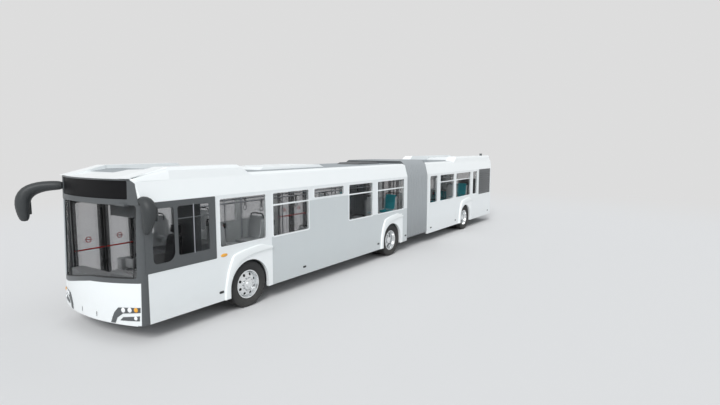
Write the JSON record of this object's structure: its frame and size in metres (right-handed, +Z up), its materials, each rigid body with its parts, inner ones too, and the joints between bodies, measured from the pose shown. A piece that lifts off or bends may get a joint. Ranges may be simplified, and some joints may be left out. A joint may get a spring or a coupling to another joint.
{
  "type": "articulated bus",
  "caption": "Low-floor articulated city bus, two saloons hinged at a turntable inside bellows, with twin-leaf doors, steered front wheels and twin driven rear wheels.",
  "frame": {"origin": "on the road, in the centre plane, midway along the overall length with the mirrors", "axes": "+X forward, +Y to the bus's left, +Z up"},
  "size_m": [18.374, 3.2, 3.0599],
  "materials": {
    "white_paint": "satin",
    "dark_trim": "gloss",
    "glass": "clear",
    "lamp": "gloss",
    "tail_lamp": "gloss",
    "grey_unit": "satin",
    "floor_covering": "matte",
    "seat_fabric": "woven",
    "grey_seat": "satin",
    "teal_seat": "satin",
    "rail": "satin",
    "chassis": "rough",
    "bellows_cloth": "matte",
    "cast_block": "rough",
    "tyre": "matte",
    "silver_rim": "satin",
    "door_frame": "satin"
  },
  "bodies": {
    "front_section": {"front_left_wall": "white_paint", "front_right_wall": "white_paint", "front_roof": "white_paint", "front_bumper": "white_paint", "front_mask": "dark_trim", "windscreen": "glass", "front_side_glass": "glass", "front_arch_flares": "white_paint", "display_box": "dark_trim", "headlamps": "lamp", "mirrors": "dark_trim", "front_fairing": "white_paint", "front_roof_units": "grey_unit", "front_floor": "floor_covering", "drivers_cab": "dark_trim", "drivers_seat": "seat_fabric", "front_seats": "grey_seat", "front_handrails": "rail", "front_axle": "chassis", "middle_axle": "chassis", "turntable_base": "chassis", "bellows": "bellows_cloth"},
    "rear_section": {"turntable_ring": "chassis", "rear_left_wall": "white_paint", "rear_right_wall": "white_paint", "rear_roof": "white_paint", "rear_end": "white_paint", "rear_window": "glass", "rear_side_glass": "glass", "rear_arch_flares": "white_paint", "tail_lamps": "tail_lamp", "rear_fairing": "white_paint", "rear_roof_units": "grey_unit", "exhaust": "dark_trim", "rear_floor": "floor_covering", "rear_seats": "teal_seat", "rear_handrails": "rail", "engine": "cast_block", "rear_axle": "chassis"},
    "knuckle_left": {"knuckle_left": "chassis"},
    "knuckle_right": {"knuckle_right": "chassis"},
    "track_rod": {"track_rod": "chassis"},
    "wheel_front_left": {"tyre_front_left": "tyre", "rim_front_left": "silver_rim"},
    "wheel_front_right": {"tyre_front_right": "tyre", "rim_front_right": "silver_rim"},
    "wheel_middle_left": {"tyre_middle_left": "tyre", "rim_middle_left": "silver_rim"},
    "wheel_middle_right": {"tyre_middle_right": "tyre", "rim_middle_right": "silver_rim"},
    "wheel_rear_left": {"tyre_rear_left": "tyre", "rim_rear_left": "silver_rim"},
    "wheel_rear_right": {"tyre_rear_right": "tyre", "rim_rear_right": "silver_rim"},
    "front_door_front_leaf": {"front_door_front_leaf": "door_frame"},
    "front_door_rear_leaf": {"front_door_rear_leaf": "door_frame"},
    "middle_door_front_leaf": {"middle_door_front_leaf": "door_frame"},
    "middle_door_rear_leaf": {"middle_door_rear_leaf": "door_frame"},
    "rear_door_front_leaf": {"rear_door_front_leaf": "door_frame"},
    "rear_door_rear_leaf": {"rear_door_rear_leaf": "door_frame"}
  },
  "joints": [
    {"name": "articulation", "type": "hinge", "parent": "front_section", "child": "rear_section", "pos_m": [-1.52, 0, 0.36], "axis": [0, 0, 1], "range_deg": [-50, 50], "deforming": ["bellows"]},
    {"name": "steer_left", "type": "hinge", "parent": "front_section", "child": "knuckle_left", "pos_m": [6.1, 0.86, 0.478], "axis": [0, 0, 1], "range_deg": [-45, 45]},
    {"name": "steer_right", "type": "hinge", "parent": "front_section", "child": "knuckle_right", "pos_m": [6.1, -0.86, 0.478], "axis": [0, 0, 1], "range_deg": [-45, 45]},
    {"name": "track_rod_turn", "type": "hinge", "parent": "knuckle_left", "child": "track_rod", "pos_m": [5.9, 0.86, 0.262], "axis": [0, 0, 1], "range_deg": [-45, 45]},
    {"name": "spin_front_left", "type": "hinge", "parent": "knuckle_left", "child": "wheel_front_left", "pos_m": [6.1, 1.105, 0.478], "axis": [0, 1, 0], "continuous": true},
    {"name": "spin_front_right", "type": "hinge", "parent": "knuckle_right", "child": "wheel_front_right", "pos_m": [6.1, -1.105, 0.478], "axis": [0, 1, 0], "continuous": true},
    {"name": "spin_middle_left", "type": "hinge", "parent": "front_section", "child": "wheel_middle_left", "pos_m": [0.2, 1.105, 0.478], "axis": [0, 1, 0], "continuous": true},
    {"name": "spin_middle_right", "type": "hinge", "parent": "front_section", "child": "wheel_middle_right", "pos_m": [0.2, -1.105, 0.478], "axis": [0, 1, 0], "continuous": true},
    {"name": "spin_rear_left", "type": "hinge", "parent": "rear_section", "child": "wheel_rear_left", "pos_m": [-5.8, 1.105, 0.478], "axis": [0, 1, 0], "continuous": true},
    {"name": "spin_rear_right", "type": "hinge", "parent": "rear_section", "child": "wheel_rear_right", "pos_m": [-5.8, -1.105, 0.478], "axis": [0, 1, 0], "continuous": true},
    {"name": "front_door_front_leaf_turn", "type": "hinge", "parent": "front_section", "child": "front_door_front_leaf", "pos_m": [8.33, -1.185, 0.38], "axis": [0, 0, -1], "range_deg": [0, 90]},
    {"name": "front_door_rear_leaf_turn", "type": "hinge", "parent": "front_section", "child": "front_door_rear_leaf", "pos_m": [7.13, -1.185, 0.38], "axis": [0, 0, 1], "range_deg": [0, 90]},
    {"name": "middle_door_front_leaf_turn", "type": "hinge", "parent": "front_section", "child": "middle_door_front_leaf", "pos_m": [2.55, -1.185, 0.38], "axis": [0, 0, -1], "range_deg": [0, 90]},
    {"name": "middle_door_rear_leaf_turn", "type": "hinge", "parent": "front_section", "child": "middle_door_rear_leaf", "pos_m": [1.35, -1.185, 0.38], "axis": [0, 0, 1], "range_deg": [0, 90]},
    {"name": "rear_door_front_leaf_turn", "type": "hinge", "parent": "rear_section", "child": "rear_door_front_leaf", "pos_m": [-3.4, -1.185, 0.38], "axis": [0, 0, -1], "range_deg": [0, 90]},
    {"name": "rear_door_rear_leaf_turn", "type": "hinge", "parent": "rear_section", "child": "rear_door_rear_leaf", "pos_m": [-4.6, -1.185, 0.38], "axis": [0, 0, 1], "range_deg": [0, 90]}
  ],
  "couplings": [
    {"joint": "steer_right", "follows": "steer_left", "ratio": 1},
    {"joint": "track_rod_turn", "follows": "steer_left", "ratio": -1},
    {"joint": "front_door_rear_leaf_turn", "follows": "front_door_front_leaf_turn", "ratio": 1},
    {"joint": "middle_door_rear_leaf_turn", "follows": "middle_door_front_leaf_turn", "ratio": 1},
    {"joint": "rear_door_rear_leaf_turn", "follows": "rear_door_front_leaf_turn", "ratio": 1}
  ]
}
